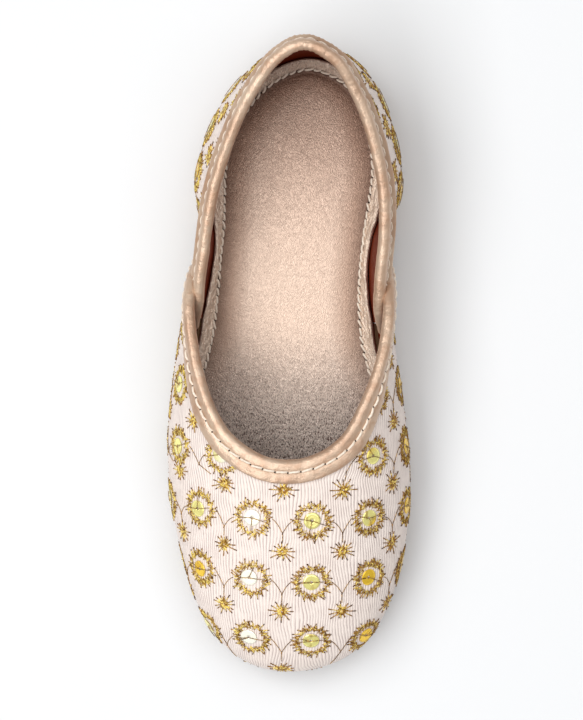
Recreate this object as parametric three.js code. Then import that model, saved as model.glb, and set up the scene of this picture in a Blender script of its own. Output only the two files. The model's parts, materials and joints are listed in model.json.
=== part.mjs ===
// A child's slip-on mojari for the right foot: a moulded outsole with a low heel, a padded insole, and a
// lined fabric upper in two shells. The vamp covers the toes, and its wings lap over the front ends of the
// quarter, which wraps the heel. Each shell has a rolled leather binding along its top edge.
// Millimetres, +Z up. The toe points to -Y and the heel to +Y, and +X is the side of the big toe.
// The origin is on the floor, under the middle of the shoe's box.
import * as THREE from "three";
import { mergeVertices } from "three/addons/utils/BufferGeometryUtils.js";

// Driving dimensions
const LENGTH = 172; // heel to toe tip, over the upper
const WIDTH = 67; // across the ball, over the upper
const HEEL_HEIGHT = 49; // floor to the quarter's cut edge at the back
const INSTEP_HEIGHT = 36.5; // floor to the vamp's cut edge at the throat
const TOE_OVERHANG = 1.3; // how far the upper passes the sole at the toe
const HEEL_OVERHANG = 1.5; // the same at the heel
const SIDE_OVERHANG = 1.6; // the same at each side of the ball
const SOLE_THICKNESS = 4.2; // under the ball and the waist
const HEEL_LIFT = 5.8; // what the heel adds to that
const TOE_SPRING = 5; // how far the toe end rises off the floor
const EDGE_ROUND = 0.9; // the sole's rounded corners
const WALL = 1.6; // fabric and lining together
const CLEARANCE = 0.3; // between pieces that meet
const FEATHER = 1.6; // from the sole's edge in to the middle of the upper's wall
const BELLY = 10; // the most that a section swings out; the belly columns are shares of it
const BEAD = 3.4; // width of the rolled edge of a binding
const BEAD_HEIGHT = 3; // how far it stands past the shell's cut edge
const FLANGE = 0.8; // thickness of a binding's flat part
const FLANGE_DEPTH = 3.4; // how far that reaches down the outside of the shell
const LEAST_FLANGE = 0.6; // what is left of that at the shell's ends
const INSOLE_INSET = 2.9; // from the sole's edge in to the insole
const INSOLE_TUCK = 2.3; // what that gains where the upper is double
const INSOLE_THICKNESS = 2.8;
const RIM_WIDTH = 3.5; // the insole's raised rim, in to its seam
const SEAM_TUCK = 1.4; // what its seam moves in where the upper is double
const RIM_RISE = 2; // how far the rim's outer edge stands above the footbed
const RIM_ROUND = 0.8; // its rounded top
const INSOLE_ROUND = 1; // the insole's rounded underside
const SEAM_WIDTH = 1.4; // the sunk line between rim and footbed
const SEAM_DEPTH = 0.6;
const SEAM_LIP = 0.3; // how far the rim's inner edge stands above the footbed

const soleLength = LENGTH - TOE_OVERHANG - HEEL_OVERHANG;
const soleWidth = WIDTH - 2 * SIDE_OVERHANG;
const heelEnd = LENGTH / 2 - HEEL_OVERHANG;

// Where things happen along the sole, as shares of its length from the heel
const HEEL_BREAST = 0.285; // the heel's front face
const BREAST_RUN = 0.006; // the length that this face takes
const LIFT_FADES = [0.18, 0.58]; // the heel's lift runs out between these
const SPRING_STARTS = 0.74; // the toe leaves the floor here
const DOUBLE_STARTS = [0.17, 0.3]; // the quarter tucks in behind the vamp here
const DOUBLE_ENDS = [0.44, 0.58]; // past its front end the upper is single again

// A table's rows as objects with its columns' names.
const tableOf = (columns, rows) =>
  rows.map((row) => Object.fromEntries(columns.map((name, k) => [name, row[k]])));

// The sole's outline. along is a share of its length from the heel, and lateral and medial are shares of
// its width, out from the line through the middle of heel and toe.
const OUTLINE = tableOf(
  ["along", "lateral", "medial"],
  [
    [0, 0.012, -0.012],
    [0.0136, 0.148, 0.122],
    [0.045, 0.265, 0.229],
    [0.104, 0.379, 0.306],
    [0.18, 0.442, 0.35],
    [0.27, 0.468, 0.351],
    [0.375, 0.486, 0.325],
    [0.47, 0.505, 0.34],
    [0.564, 0.539, 0.392],
    [0.647, 0.552, 0.43],
    [0.724, 0.542, 0.442],
    [0.789, 0.505, 0.43],
    [0.854, 0.454, 0.397],
    [0.919, 0.387, 0.337],
    [0.96, 0.3, 0.252],
    [0.981, 0.232, 0.17],
    [0.993, 0.168, 0.07],
    [1, 0.056, -0.056],
  ],
);

// Sections of the two shells, each a curve from the sole's edge up to the shell's cut edge.
// foot: where it leaves the sole, as a share of the sole's length from the heel. inset: how many walls it
// moves in there. along, lateral, medial, height: the cut edge in plan, as shares of LENGTH and WIDTH, and
// its height, as a share of the shell's own. belly, rise: how far the lower part swings out, as a share of
// BELLY, and up. crown, dip: how far the upper part runs back towards the foot, and down.
const SECTION = ["foot", "inset", "along", "lateral", "medial", "height", "belly", "rise", "crown", "dip"];
const QUARTER = tableOf(SECTION, [
  [0, 0, 0.022, 0.013, -0.013, 1, 0.5, 0.35, 0, 0.3],
  [0.014, 0, 0.046, 0.122, 0.118, 0.97, 0.5, 0.35, 0, 0.3],
  [0.045, 0, 0.076, 0.183, 0.172, 0.92, 0.55, 0.35, 0, 0.3],
  [0.09, 0, 0.113, 0.242, 0.222, 0.87, 0.64, 0.35, 0, 0.3],
  [0.155, 0, 0.1744, 0.309, 0.278, 0.8, 0.75, 0.35, 0, 0.3],
  [0.22, 0, 0.24, 0.361, 0.312, 0.735, 0.78, 0.35, 0, 0.3],
  [0.262, 0.75, 0.284, 0.382, 0.317, 0.695, 0.42, 0.35, 0, 0.3],
  [0.3, 1.5, 0.322, 0.396, 0.315, 0.655, 0.1, 0.35, 0, 0.3],
  [0.36, 1.5, 0.372, 0.408, 0.299, 0.6, 0.14, 0.35, 0, 0.3],
  [0.41, 1.5, 0.42, 0.408, 0.283, 0.51, 0.12, 0.35, 0, 0.3],
  [0.45, 1.5, 0.4535, 0.41, 0.28, 0.38, 0.1, 0.35, 0, 0.3],
]);
const VAMP = tableOf(SECTION, [
  [0.31, 0, 0.32, 0.438, 0.315, 0.29, 0.05, 0.35, 0, 0.3],
  [0.342, 0, 0.348, 0.452, 0.34, 0.49, 0.18, 0.35, 0, 0.3],
  [0.37, 0, 0.378, 0.466, 0.352, 0.69, 0.4, 0.35, 0, 0.3],
  [0.41, 0, 0.4157, 0.464, 0.348, 0.79, 0.55, 0.35, 0.12, 0.26],
  [0.46, 0, 0.4564, 0.447, 0.335, 0.85, 0.68, 0.36, 0.28, 0.22],
  [0.525, 0, 0.5163, 0.42, 0.31, 0.905, 0.76, 0.36, 0.44, 0.18],
  [0.595, 0, 0.5715, 0.379, 0.268, 0.945, 0.8, 0.36, 0.54, 0.15],
  [0.665, 0, 0.6186, 0.312, 0.212, 0.97, 0.82, 0.36, 0.56, 0.13],
  [0.745, 0, 0.643, 0.245, 0.152, 0.985, 0.86, 0.36, 0.57, 0.12],
  [0.825, 0, 0.6593, 0.173, 0.079, 0.995, 0.93, 0.36, 0.58, 0.11],
  [0.9, 0, 0.6657, 0.127, 0.031, 1, 0.97, 0.37, 0.58, 0.1],
  [0.953, 0, 0.6682, 0.1, 0.004, 1, 1, 0.38, 0.58, 0.1],
  [0.984, 0, 0.6692, 0.074, -0.022, 1, 1.03, 0.38, 0.58, 0.1],
  [1, 0, 0.6698, 0.048, -0.048, 1, 1.03, 0.38, 0.58, 0.1],
]);

// The two parts of a binding's section. Flange: how far down, as a share of its depth, and how far out of
// the wall's face, as a share of its thickness. Bead: how far past the wall's cut edge, as a share of its
// height, and how far out of the wall's middle, as a share of half its width.
const FLANGE_SECTION = tableOf(
  ["down", "out"],
  [
    [0.5, 0],
    [1, 0],
    [1, 0.5],
    [0.86, 1],
    [0.3, 1],
    [-0.1, 0.7],
  ],
);
const BEAD_SECTION = tableOf(
  ["past", "out"],
  [
    [0.5, 1],
    [0.86, 0.72],
    [1, 0],
    [0.86, -0.72],
    [0.5, -1],
  ],
);
const BEAD_FOOT = 0.86; // how far in the bead still reaches at its foot, as a share of half its width

// How finely things are divided
const SHELL_RISES = 8;
const QUARTER_SPANS = 54;
const VAMP_SPANS = 78;
const PLATE_STATIONS = 40;
const LEAST_STATION_GAP = 0.004; // as a share of the sole's length
const SEARCH_STEPS = 30; // halvings, to find a place on the sole's edge
const DIFFERENCE = 1e-3; // step of the surface's derivatives, as a share of its span
const BOUND = [0.004, 0.996]; // a binding stops just short of its shell's two ends

const LATERAL = -1;
const MEDIAL = 1;
const COLOURS = { fabric: 0xf1e4da, leather: 0xd3a981, footbed: 0xb79886, rubber: 0xb08a66 };

const ease = (share) => THREE.MathUtils.smoothstep(share, 0, 1);
const soleShare = (y) => (heelEnd - y) / soleLength;
const acrossOf = (row, side) => side * (side === LATERAL ? row.lateral : row.medial);

// The sole's two faces: the heel lifts its back, and the toe springs off the floor.
function lift(share) {
  const [from, to] = LIFT_FADES;
  return HEEL_LIFT * (1 - ease((share - from) / (to - from)));
}
function spring(share) {
  return TOE_SPRING * Math.max(0, (share - SPRING_STARTS) / (1 - SPRING_STARTS)) ** 2;
}
function soleTop(y) {
  const share = soleShare(y);
  return SOLE_THICKNESS + lift(share) + spring(share);
}
function soleBottom(y) {
  const share = soleShare(y);
  return lift(share) * ease((share - HEEL_BREAST) / BREAST_RUN) + spring(share);
}

// How much of the upper is double at a share of the sole's length, from none at 0 to all of it at 1.
function doubling(share) {
  const [from, full] = DOUBLE_STARTS;
  const [fades, gone] = DOUBLE_ENDS;
  return ease((share - from) / (full - from)) * (1 - ease((share - fades) / (gone - fades)));
}

// The sole's edge as one closed curve: from the heel along the lateral side to the toe, and back.
const edgePoint = (row, side) =>
  new THREE.Vector3(acrossOf(row, side) * soleWidth, heelEnd - row.along * soleLength, 0);
const edge = new THREE.CatmullRomCurve3(
  [
    ...OUTLINE.map((row) => edgePoint(row, LATERAL)),
    ...OUTLINE.slice(1, -1)
      .reverse()
      .map((row) => edgePoint(row, MEDIAL)),
  ],
  true,
  "centripetal",
);

// The point of the sole's edge on one side at a share of its length, moved in by inset.
function edgeAt(side, share, inset = 0) {
  const y = heelEnd - share * soleLength;
  const toe = 0.5;
  let [behind, ahead] = [side === LATERAL ? 0 : 1, toe];
  for (let step = 0; step < SEARCH_STEPS; step++) {
    const middle = (behind + ahead) / 2;
    if (edge.getPoint(middle).y > y) behind = middle;
    else ahead = middle;
  }
  const place = share <= 0 ? 0 : share >= 1 ? toe : behind;
  const tangent = edge.getTangent(place);
  const out = new THREE.Vector3(tangent.y, -tangent.x, 0).normalize();
  return { point: edge.getPoint(place).addScaledVector(out, -inset), out };
}

// The four control points of one section of a shell.
function sectionOf(row, side, edgeHeight) {
  const { point: foot, out } = edgeAt(side, row.foot, FEATHER + row.inset * WALL);
  foot.z = soleTop(foot.y) + CLEARANCE;
  const top = new THREE.Vector3(
    acrossOf(row, side) * WIDTH,
    LENGTH / 2 - row.along * LENGTH,
    row.height * edgeHeight,
  );
  const height = top.z - foot.z;
  const lower = foot.clone().addScaledVector(out, row.belly * BELLY);
  lower.z += row.rise * height;
  const upper = top.clone().lerp(foot, row.crown);
  upper.z = top.z - row.dip * height;
  return [foot, lower, upper, top];
}

// A shell's middle surface, from its rows listed from one end to the middle. across runs from the end on
// the first side round to the end on the other, and up runs from the foot to the cut edge.
function shellOf(rows, edgeHeight, firstSide) {
  const sections = [
    ...rows.slice(0, -1).map((row) => sectionOf(row, firstSide, edgeHeight)),
    ...[...rows].reverse().map((row) => sectionOf(row, -firstSide, edgeHeight)),
  ];
  const rails = [0, 1, 2, 3].map(
    (k) => new THREE.CatmullRomCurve3(sections.map((section) => section[k]), false, "centripetal"),
  );
  return (across, up) => {
    const controls = rails.map((rail) => rail.getPoint(THREE.MathUtils.clamp(across, 0, 1)));
    return new THREE.CubicBezierCurve3(...controls).getPoint(THREE.MathUtils.clamp(up, 0, 1));
  };
}

// The directions of a surface at a place: along it, up it, and out of it.
function frameAt(surface, across, up) {
  const [left, right] = [Math.max(0, across - DIFFERENCE), Math.min(1, across + DIFFERENCE)];
  const [low, high] = [Math.max(0, up - DIFFERENCE), Math.min(1, up + DIFFERENCE)];
  const along = surface(right, up).sub(surface(left, up)).divideScalar(right - left);
  const rising = surface(across, high).sub(surface(across, low)).divideScalar(high - low);
  const out = new THREE.Vector3().crossVectors(along, rising).normalize();
  return { along, rising, out };
}

// The point of a surface moved out of it by a distance.
function offsetPoint(surface, across, up, distance) {
  return surface(across, up).addScaledVector(frameAt(surface, across, up).out, distance);
}

// The triangles that fill a closed, nearly flat ring of points, facing the way that the ring turns.
function fillOf(ring) {
  const normal = new THREE.Vector3();
  ring.forEach((p, k) => normal.add(new THREE.Vector3().crossVectors(p, ring[(k + 1) % ring.length])));
  const spanA = new THREE.Vector3(normal.y, normal.z, normal.x).cross(normal).normalize();
  const spanB = new THREE.Vector3().crossVectors(normal.normalize(), spanA);
  const flat = ring.map((p) => new THREE.Vector2(p.dot(spanA), p.dot(spanB)));
  return THREE.ShapeUtils.triangulateShape(flat, []).map(([a, b, c]) => {
    const turn = flat[b].clone().sub(flat[a]).cross(flat[c].clone().sub(flat[a]));
    return turn > 0 ? [a, b, c] : [a, c, b];
  });
}

// A closed solid through rings of points, with its two ends filled or, where they are flat lines, left.
function solidThrough(rings, filled = true) {
  const size = rings[0].length;
  const faces = [];
  for (let ring = 0; ring + 1 < rings.length; ring++)
    for (let k = 0; k < size; k++) {
      const next = (k + 1) % size;
      const [a, b] = [ring * size + k, ring * size + next];
      faces.push([a, b, b + size], [a, b + size, a + size]);
    }
  if (filled) {
    const lastStart = (rings.length - 1) * size;
    for (const face of fillOf(rings[0])) faces.push([...face].reverse());
    for (const face of fillOf(rings.at(-1))) faces.push(face.map((k) => k + lastStart));
  }
  const points = rings.flat();
  const volume = faces.reduce((sum, [a, b, c]) => {
    const cross = new THREE.Vector3().crossVectors(points[b], points[c]);
    return sum + points[a].dot(cross);
  }, 0);
  if (volume < 0) faces.forEach((face) => face.reverse());
  const geometry = new THREE.BufferGeometry().setFromPoints(points);
  geometry.setIndex(faces.flat());
  const merged = mergeVertices(geometry, 1e-4);
  const index = [...merged.index.array];
  const kept = [];
  for (let k = 0; k < index.length; k += 3) {
    const [a, b, c] = index.slice(k, k + 3);
    if (a !== b && b !== c && c !== a) kept.push(a, b, c);
  }
  merged.setIndex(kept);
  merged.computeVertexNormals();
  return merged;
}

const spread = (count) => Array.from({ length: count + 1 }, (_, k) => k / count);

// One shell of the upper: its wall, standing on the sole.
function shellSolid(surface, spans) {
  const rises = spread(SHELL_RISES);
  const wallPoint = (across, up, side) => {
    const point = offsetPoint(surface, across, up, (side * WALL) / 2);
    if (up === 0) point.z = soleTop(point.y) + CLEARANCE;
    return point;
  };
  const rings = spread(spans).map((across) => [
    ...rises.map((up) => wallPoint(across, up, 1)),
    ...[...rises].reverse().map((up) => wallPoint(across, up, -1)),
  ]);
  return solidThrough(rings);
}

// The place on a shell that lies a distance below its cut edge, square to that edge.
function placeBelow(surface, across, depth) {
  const steps = Math.max(1, Math.ceil(depth));
  let [here, up] = [across, 1];
  for (let step = 0; step < steps; step++) {
    const { along, rising, out } = frameAt(surface, here, up);
    const down = new THREE.Vector3().crossVectors(along, out).normalize().multiplyScalar(depth / steps);
    const [aa, ar, rr] = [along.dot(along), along.dot(rising), rising.dot(rising)];
    const [ad, rd] = [along.dot(down), rising.dot(down)];
    const scale = aa * rr - ar * ar;
    here += (ad * rr - rd * ar) / scale;
    up += (rd * aa - ad * ar) / scale;
  }
  return [here, up];
}

// A binding: a bead over the shell's cut edge and a flat flange down its outside. The section's points are
// given as distances past the cut edge and out of the wall's middle.
function bindingSolid(surface, spans, [from, to]) {
  const face = WALL / 2 + CLEARANCE;
  const section = (depth) => [
    ...FLANGE_SECTION.map((row) => ({ past: -row.down * depth, out: face + row.out * FLANGE })),
    ...BEAD_SECTION.map((row) => ({ past: row.past * BEAD_HEIGHT, out: (row.out * BEAD) / 2 })),
    { past: CLEARANCE, out: (-BEAD_FOOT * BEAD) / 2 },
    { past: CLEARANCE, out: face },
  ];
  const stations = [from, ...spread(spans).slice(1, -1), to];
  const rings = stations.map((across) => {
    const edgeFrame = frameAt(surface, across, 1);
    const past = new THREE.Vector3().crossVectors(edgeFrame.out, edgeFrame.along).normalize();
    const room = surface(across, 1).z - surface(across, 0).z;
    const toEnd = surface(across, 1).distanceTo(surface(Math.round(across), 1));
    const depth = Math.min(FLANGE_DEPTH, room / 2, Math.max(LEAST_FLANGE, toEnd / 2));
    return section(depth).map((point) => {
      if (point.past >= 0)
        return surface(across, 1)
          .addScaledVector(past, point.past)
          .addScaledVector(edgeFrame.out, point.out);
      const [here, up] = placeBelow(surface, across, -point.past);
      return offsetPoint(surface, here, up, point.out);
    });
  });
  return solidThrough(rings);
}

// Places along the sole, close together at its round ends.
function stationsOf(extra = []) {
  const even = spread(PLATE_STATIONS).map((share) => (1 - Math.cos(Math.PI * share)) / 2);
  const apart = even.filter((share) => extra.every((x) => Math.abs(x - share) > LEAST_STATION_GAP));
  return [...apart, ...extra].sort((a, b) => a - b);
}

// A plate that follows the sole's outline. profile lists points from the middle of its underside round the
// edge to the middle of its top, each with its inset from the sole's edge, what that gains where the upper
// is double, and its height at a given y.
function plateSolid(profile, stations) {
  const pointAt = (side, share, { inset, tuck, height }) => {
    const { point } = edgeAt(side, share, inset + tuck * doubling(share));
    point.z = height(point.y);
    return point;
  };
  const rings = stations.map((share) => [
    ...profile.map((row) => pointAt(LATERAL, share, row)),
    ...[...profile].reverse().map((row) => pointAt(MEDIAL, share, row)),
  ]);
  return solidThrough(rings, false);
}

function outsoleSolid() {
  const chamfer = EDGE_ROUND * (1 - Math.SQRT1_2);
  return plateSolid(
    [
      { inset: EDGE_ROUND, tuck: 0, height: soleBottom },
      { inset: chamfer, tuck: 0, height: (y) => soleBottom(y) + chamfer },
      { inset: 0, tuck: 0, height: (y) => soleBottom(y) + EDGE_ROUND },
      { inset: 0, tuck: 0, height: (y) => soleTop(y) - EDGE_ROUND / 2 },
      { inset: EDGE_ROUND / 2, tuck: 0, height: soleTop },
    ],
    stationsOf([HEEL_BREAST, HEEL_BREAST + BREAST_RUN]),
  );
}

function insoleSolid() {
  const bed = (y) => soleTop(y) + CLEARANCE;
  const top = (y) => bed(y) + INSOLE_THICKNESS;
  const rim = INSOLE_INSET;
  const seam = INSOLE_INSET + RIM_WIDTH;
  return plateSolid(
    [
      { inset: rim + INSOLE_ROUND, tuck: INSOLE_TUCK, height: bed },
      { inset: rim, tuck: INSOLE_TUCK, height: (y) => bed(y) + INSOLE_ROUND },
      { inset: rim, tuck: INSOLE_TUCK, height: (y) => top(y) + RIM_RISE - RIM_ROUND },
      { inset: rim + RIM_ROUND, tuck: INSOLE_TUCK, height: (y) => top(y) + RIM_RISE },
      { inset: seam - SEAM_WIDTH / 2, tuck: SEAM_TUCK, height: (y) => top(y) + SEAM_LIP },
      { inset: seam, tuck: SEAM_TUCK, height: (y) => top(y) - SEAM_DEPTH },
      { inset: seam + SEAM_WIDTH / 2, tuck: SEAM_TUCK, height: top },
    ],
    stationsOf(),
  );
}

function piece(name, geometry, color, roughness, metalness = 0) {
  const mesh = new THREE.Mesh(geometry, new THREE.MeshStandardMaterial({ color, roughness, metalness }));
  mesh.name = name;
  return mesh;
}

const quarter = shellOf([...QUARTER].reverse(), HEEL_HEIGHT, MEDIAL);
const vamp = shellOf(VAMP, INSTEP_HEIGHT, LATERAL);

const shoe = new THREE.Group();
shoe.add(
  piece("outsole", outsoleSolid(), COLOURS.rubber, 0.7),
  piece("insole", insoleSolid(), COLOURS.footbed, 0.45, 0.35),
  piece("upper_vamp", shellSolid(vamp, VAMP_SPANS), COLOURS.fabric, 0.85),
  piece("upper_quarter", shellSolid(quarter, QUARTER_SPANS), COLOURS.fabric, 0.85),
  piece("vamp_binding", bindingSolid(vamp, VAMP_SPANS, BOUND), COLOURS.leather, 0.4),
  piece("quarter_binding", bindingSolid(quarter, QUARTER_SPANS, BOUND), COLOURS.leather, 0.4),
);

// The shoe is set with the middle of its box over the origin and its sole on the floor.
const box = new THREE.Box3().setFromObject(shoe);
const middle = box.getCenter(new THREE.Vector3());
shoe.position.set(-middle.x, -middle.y, -box.min.z);

const part = new THREE.Group();
part.add(shoe);

export default part;
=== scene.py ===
# %% [markdown]
# # A child's mojari, seen from above
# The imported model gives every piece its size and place. Here each piece gets the look of the real shoe:
# ribbed fabric with gold embroidery and sequins, satin leather bindings, a grained insole and stitching.
# Everything is in metres, in the model's own frame: the toe points to -Y and the heel to +Y.

# %% Frame and helpers
import json
import math
import random

import bmesh
import bpy
import numpy as np
from mathutils import Matrix, Vector, noise
from mathutils.bvhtree import BVHTree
from mathutils.kdtree import KDTree

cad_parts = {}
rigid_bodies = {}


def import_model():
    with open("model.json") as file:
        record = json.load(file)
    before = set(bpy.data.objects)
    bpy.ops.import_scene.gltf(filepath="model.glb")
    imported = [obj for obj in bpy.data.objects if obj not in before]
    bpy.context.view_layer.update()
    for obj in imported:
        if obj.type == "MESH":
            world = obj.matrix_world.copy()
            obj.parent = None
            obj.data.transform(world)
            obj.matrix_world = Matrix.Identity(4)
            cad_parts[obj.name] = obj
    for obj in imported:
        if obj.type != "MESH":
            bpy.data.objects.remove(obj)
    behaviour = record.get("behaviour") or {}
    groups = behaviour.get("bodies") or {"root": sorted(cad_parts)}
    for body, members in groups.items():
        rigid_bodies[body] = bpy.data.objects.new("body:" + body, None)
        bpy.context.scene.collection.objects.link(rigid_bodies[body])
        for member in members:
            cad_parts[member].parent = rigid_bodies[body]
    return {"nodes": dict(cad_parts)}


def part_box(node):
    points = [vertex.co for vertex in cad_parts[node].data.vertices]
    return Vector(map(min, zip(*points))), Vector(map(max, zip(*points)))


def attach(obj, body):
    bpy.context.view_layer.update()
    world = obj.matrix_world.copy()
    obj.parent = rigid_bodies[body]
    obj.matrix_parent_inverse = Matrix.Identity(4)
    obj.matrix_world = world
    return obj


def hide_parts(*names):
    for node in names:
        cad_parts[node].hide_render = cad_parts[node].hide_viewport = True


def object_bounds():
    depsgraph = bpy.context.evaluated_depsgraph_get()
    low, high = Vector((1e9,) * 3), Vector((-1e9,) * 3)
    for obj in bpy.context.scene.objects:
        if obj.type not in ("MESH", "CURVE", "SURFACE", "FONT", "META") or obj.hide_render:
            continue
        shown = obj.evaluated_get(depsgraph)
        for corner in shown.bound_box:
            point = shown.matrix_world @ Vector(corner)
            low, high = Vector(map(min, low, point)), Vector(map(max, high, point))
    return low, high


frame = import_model()
cad_low, cad_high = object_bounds()
MM = 0.001
FRAME_HEIGHT = 720  # the photograph's height, in pixels
print("CAD box in mm:", [round(v / MM, 1) for v in (*cad_low, *cad_high)])


def placed(name, data):
    """A new object in the scene."""
    thing = bpy.data.objects.new(name, data)
    bpy.context.scene.collection.objects.link(thing)
    return thing


# %% [markdown]
# ## Camera
# The shoe was photographed from straight above, a little to its inner side, as one of a pair. The camera
# stands where it stood for this shoe, and is turned to the middle of the shoe, so that the one shoe fills
# the frame. A turn keeps the perspective, where a shift of the lens would have to be large.

# %% Camera
CAMERA_PLACE = Vector((40.4, 1.4, 750)) * MM
CAMERA_AIM = Vector((0, 0, 14)) * MM
CAMERA_ROLL = math.radians(1.58)  # the shoe's axis leans by this much in the picture
FOCAL_PIXELS = 2705
SENSOR = 36

camera_data = bpy.data.cameras.new("camera")
camera_data.sensor_width = SENSOR
camera_data.lens = FOCAL_PIXELS / FRAME_HEIGHT * SENSOR
camera_data.clip_start = 0.01
camera = placed("camera", camera_data)
looking = (CAMERA_AIM - CAMERA_PLACE).normalized()
picture_up = Vector((-math.sin(CAMERA_ROLL), math.cos(CAMERA_ROLL), 0))
picture_right = looking.cross(picture_up).normalized()
picture_up = picture_right.cross(looking).normalized()
turn = Matrix((picture_right, picture_up, -looking)).transposed()
camera.matrix_world = Matrix.Translation(CAMERA_PLACE) @ turn.to_4x4()
bpy.context.scene.camera = camera
print("lens", round(camera_data.lens, 1), "mm")

# %% [markdown]
# ## Light and floor
# The picture has a white ground with one soft grey shadow on the shoe's right, and the sequins that lean
# to the left and to the toe flash white. So a long soft light stands on that side. A panel fills from
# overhead, and the pale world lifts the shadows. Colours are shown as they are, without a film look.

# %% Light and floor
FLOOR_SIZE = 4.0
WORLD_STRENGTH = 0.35


def soft_light(name, place, length, width, power):
    """A light that looks at the shoe from a place given in metres; its length lies level."""
    data = bpy.data.lights.new(name, "AREA")
    data.shape = "RECTANGLE"
    data.size = length
    data.size_y = width
    data.energy = power
    light = placed(name, data)
    light.location = place
    light.rotation_euler = (-Vector(place)).to_track_quat("-Z", "Y").to_euler()


soft_light("key_light", place=(-0.55, -0.1, 1.15), length=1.7, width=0.6, power=13.2)
soft_light("panel_light", place=(0.3, 0.14, 1.3), length=1.2, width=1.2, power=7.6)

world = bpy.data.worlds.new("studio")
bpy.context.scene.world = world
world.use_nodes = True
background = world.node_tree.nodes["Background"]
background.inputs["Color"].default_value = (1, 1, 1, 1)
background.inputs["Strength"].default_value = WORLD_STRENGTH
bpy.context.scene.view_settings.view_transform = "Standard"

# %% [markdown]
# ## Writing materials
# A material is a graph of nodes. It reads better as sums, so a small class wraps an output socket and
# turns + - * / into Math nodes. One method adds any other node, with its settings and its inputs.


# %% Materials as expressions
def joined(operation, flipped=False):
    """A method that joins a value and another by a Math node."""

    def method(self, other):
        return self.math(operation, *((other, self) if flipped else (self, other)))

    return method


class Value:
    """A number or colour that changes over a surface."""

    def __init__(self, finish, socket):
        self.finish = finish
        self.socket = socket

    def math(self, operation, *values):
        return self.finish.node("ShaderNodeMath", {"operation": operation}, dict(enumerate(values)))

    __add__ = __radd__ = joined("ADD")
    __mul__ = __rmul__ = joined("MULTIPLY")
    __sub__ = joined("SUBTRACT")
    __rsub__ = joined("SUBTRACT", flipped=True)
    __truediv__ = joined("DIVIDE")

    def sine(self):
        return self.math("SINE", self)

    def smooth(self, low, high):
        """0 below low, 1 above high and smooth between."""
        values = {"Value": self, "From Min": low, "From Max": high}
        return self.finish.node("ShaderNodeMapRange", {"interpolation_type": "SMOOTHSTEP"}, values)


class Finish:
    """A material under construction, with one Principled shader."""

    def __init__(self, name, **constants):
        self.material = bpy.data.materials.new(name)
        self.material.use_nodes = True
        self.tree = self.material.node_tree
        self.shader = self.tree.nodes["Principled BSDF"]
        for key, value in constants.items():
            self.shader.inputs[key.replace("_", " ")].default_value = value

    def node(self, kind, settings=None, values=None, output=0):
        """Adds a node, sets its settings, links or sets its inputs, and gives one of its outputs."""
        node = self.tree.nodes.new(kind)
        for key, value in (settings or {}).items():
            if key == "stops":
                ramp = node.color_ramp.elements
                while len(ramp) < len(value):
                    ramp.new(1)
                for element, (place, colour) in zip(ramp, value):
                    element.position = place
                    element.color = colour
            else:
                setattr(node, key, value)
        for key, value in (values or {}).items():
            if isinstance(value, Value):
                self.tree.links.new(value.socket, node.inputs[key])
            else:
                node.inputs[key].default_value = value
        return Value(self, node.outputs[output])

    def place(self):
        return self.node("ShaderNodeTexCoord", output="Object")

    def lie(self):
        """The piece's own map: millimetres across and along the cloth."""
        return self.node("ShaderNodeUVMap", {"uv_map": "lie"})

    def part_of(self, vector, axis):
        return self.node("ShaderNodeSeparateXYZ", values={0: vector}, output=axis)

    def noise(self, vector, scale, detail=2.0, roughness=0.5):
        values = {"Vector": vector, "Scale": scale, "Detail": detail, "Roughness": roughness}
        return self.node("ShaderNodeTexNoise", values=values)

    def cells(self, vector, scale, feature="F1"):
        return self.node("ShaderNodeTexVoronoi", {"feature": feature}, {"Vector": vector, "Scale": scale})

    def stretched(self, vector, turn, shares):
        """A place turned about Z and scaled, so that a pattern lies slanted and long."""
        values = {"Vector": vector, "Rotation": (0, 0, turn), "Scale": shares}
        return self.node("ShaderNodeMapping", values=values)

    def mix(self, factor, first, second, blend="MIX"):
        values = {0: factor, 6: first, 7: second}
        return self.node("ShaderNodeMix", {"data_type": "RGBA", "blend_type": blend}, values, output=2)

    def bump(self, height, depth, strength=1.0, below=None):
        values = {"Height": height, "Distance": depth, "Strength": strength}
        if below is not None:
            values["Normal"] = below
        return self.node("ShaderNodeBump", values=values)

    def wear(self, **links):
        """Links values to the shader's own sockets."""
        for key, value in links.items():
            self.tree.links.new(value.socket, self.shader.inputs[key.replace("_", " ")])
        return self.material


def rgb(*picture):
    """A colour read in the picture, 0 to 255, as the linear colour that a shader takes."""
    shares = [c / 255 for c in picture]
    return (*[s / 12.92 if s < 0.04045 else ((s + 0.055) / 1.055) ** 2.4 for s in shares], 1)


# %% [markdown]
# ## Floor
# A plain pale sheet, which isn't part of the shoe.

# %% Floor
floor_finish = Finish("paper", Base_Color=(0.79, 0.8, 0.812, 1), Roughness=0.9)
floor_bm = bmesh.new()
bmesh.ops.create_grid(floor_bm, x_segments=1, y_segments=1, size=FLOOR_SIZE / 2)
floor_mesh = bpy.data.meshes.new("floor")
floor_bm.to_mesh(floor_mesh)
floor_bm.free()
floor_mesh.materials.append(floor_finish.material)
placed("floor", floor_mesh)

# %% [markdown]
# ## Copies of the solids
# A solid of the model is loose triangles. A copy is merged and its triangles joined to four-sided faces,
# so that a subdivision surface can round it without changing its form.


# %% Copies and pieces
FLAT_ENOUGH = {"angle_face_threshold": math.radians(50), "angle_shape_threshold": math.radians(70)}


def copy_of(node):
    """A merged copy of a solid, in four-sided faces where they fit."""
    bm = bmesh.new()
    bm.from_mesh(frame["nodes"][node].data)
    bmesh.ops.remove_doubles(bm, verts=bm.verts, dist=1e-6)
    bmesh.ops.join_triangles(bm, faces=bm.faces, **FLAT_ENOUGH)
    bm.normal_update()
    return bm


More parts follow.
